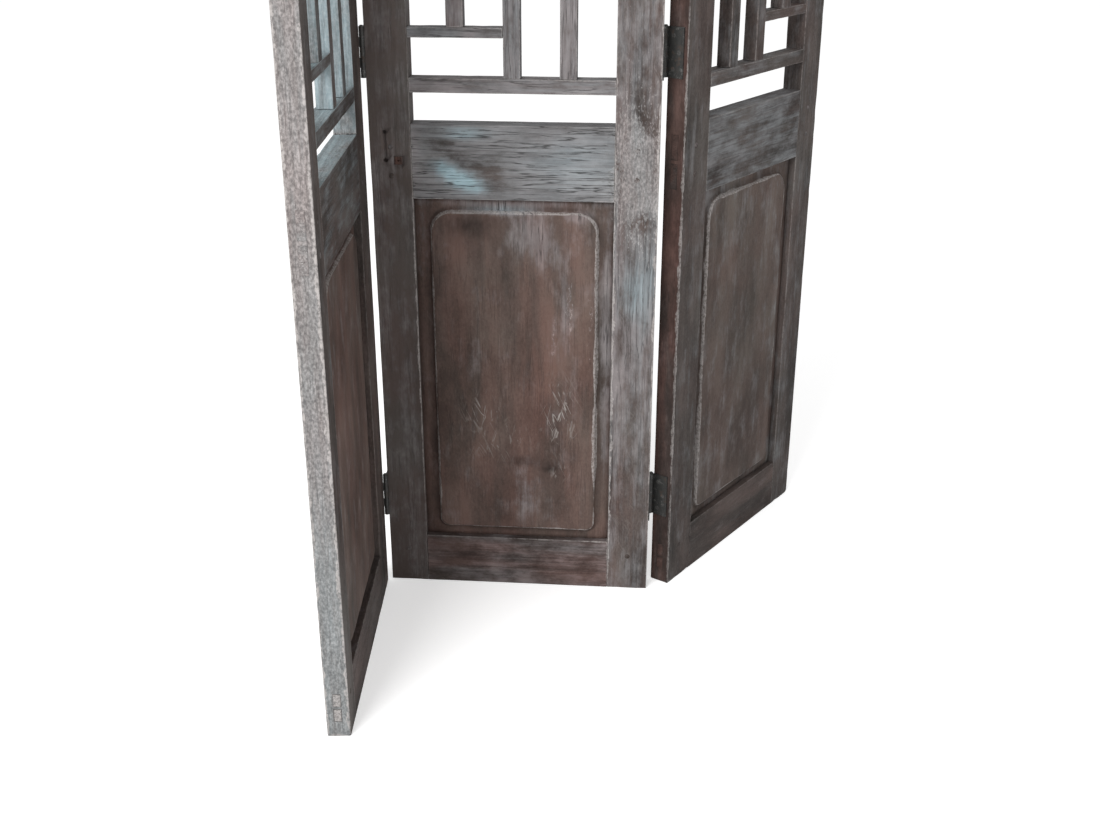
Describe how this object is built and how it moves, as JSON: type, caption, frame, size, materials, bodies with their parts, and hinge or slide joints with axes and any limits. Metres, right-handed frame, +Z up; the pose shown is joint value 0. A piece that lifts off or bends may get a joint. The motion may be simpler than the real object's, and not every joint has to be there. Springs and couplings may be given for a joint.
{
  "type": "folding screen",
  "caption": "Free-standing folding screen of old framed wood: hinged leaves with a raised fielded board below and an open lattice above, folding accordion-wise.",
  "frame": {"origin": "on the floor under the middle of the centre leaf's footprint", "axes": "+X to the right along the centre leaf seen from the front, +Y to the back, +Z up"},
  "size_m": [0.7666, 0.8787, 1.83],
  "materials": {
    "frame_wood": "weathered dark brown wood with grey-white lime wash in the grain and on worn edges",
    "board_wood": "warmer brown weathered boards with vertical streaks and pale scuffs",
    "peg_wood": "end grain, worn flush",
    "hinge_iron": "dark iron, matt with a little rust",
    "screw_iron": "dark slotted screws, matt"
  },
  "bodies": {
    "centre_leaf": {"centre_bottom_rail": "frame_wood", "centre_field_board": "board_wood", "centre_hinge_screws": "screw_iron", "centre_lattice_crossbars": "frame_wood", "centre_lattice_uprights": "frame_wood", "centre_left_stile": "frame_wood", "centre_lock_rail": "frame_wood", "centre_lower_lattice_rail": "frame_wood", "centre_pegs": "peg_wood", "centre_right_stile": "frame_wood", "centre_top_rail": "frame_wood", "centre_upper_lattice_rail": "frame_wood", "latch_plug": "peg_wood", "lower_left_hinge_centre_leaf": "hinge_iron", "lower_left_hinge_pin": "hinge_iron", "lower_right_hinge_centre_leaf": "hinge_iron", "lower_right_hinge_pin": "hinge_iron", "middle_left_hinge_centre_leaf": "hinge_iron", "middle_left_hinge_pin": "hinge_iron", "middle_right_hinge_centre_leaf": "hinge_iron", "middle_right_hinge_pin": "hinge_iron", "upper_left_hinge_centre_leaf": "hinge_iron", "upper_left_hinge_pin": "hinge_iron", "upper_right_hinge_centre_leaf": "hinge_iron", "upper_right_hinge_pin": "hinge_iron"},
    "left_leaf": {"left_bottom_rail": "frame_wood", "left_field_board": "board_wood", "left_hinge_screws": "screw_iron", "left_inner_stile": "frame_wood", "left_lattice_crossbars": "frame_wood", "left_lattice_uprights": "frame_wood", "left_lock_rail": "frame_wood", "left_lower_lattice_rail": "frame_wood", "left_outer_stile": "frame_wood", "left_pegs": "peg_wood", "left_top_rail": "frame_wood", "left_upper_lattice_rail": "frame_wood", "lower_left_hinge_left_leaf": "hinge_iron", "middle_left_hinge_left_leaf": "hinge_iron", "upper_left_hinge_left_leaf": "hinge_iron"},
    "right_leaf": {"lower_right_hinge_right_leaf": "hinge_iron", "middle_right_hinge_right_leaf": "hinge_iron", "right_bottom_rail": "frame_wood", "right_field_board": "board_wood", "right_hinge_screws": "screw_iron", "right_inner_stile": "frame_wood", "right_lattice_crossbars": "frame_wood", "right_lattice_uprights": "frame_wood", "right_lock_rail": "frame_wood", "right_lower_lattice_rail": "frame_wood", "right_outer_stile": "frame_wood", "right_pegs": "peg_wood", "right_top_rail": "frame_wood", "right_upper_lattice_rail": "frame_wood", "upper_right_hinge_right_leaf": "hinge_iron"}
  },
  "joints": [
    {"name": "left_fold", "type": "hinge", "parent": "centre_leaf", "child": "left_leaf", "pos_m": [-0.2275, -0.0215, 0.915], "axis": [0, 0, 1], "range_deg": [-94, 86]},
    {"name": "right_fold", "type": "hinge", "parent": "centre_leaf", "child": "right_leaf", "pos_m": [0.2275, 0.0215, 0.915], "axis": [0, 0, 1], "range_deg": [-58, 122]}
  ]
}
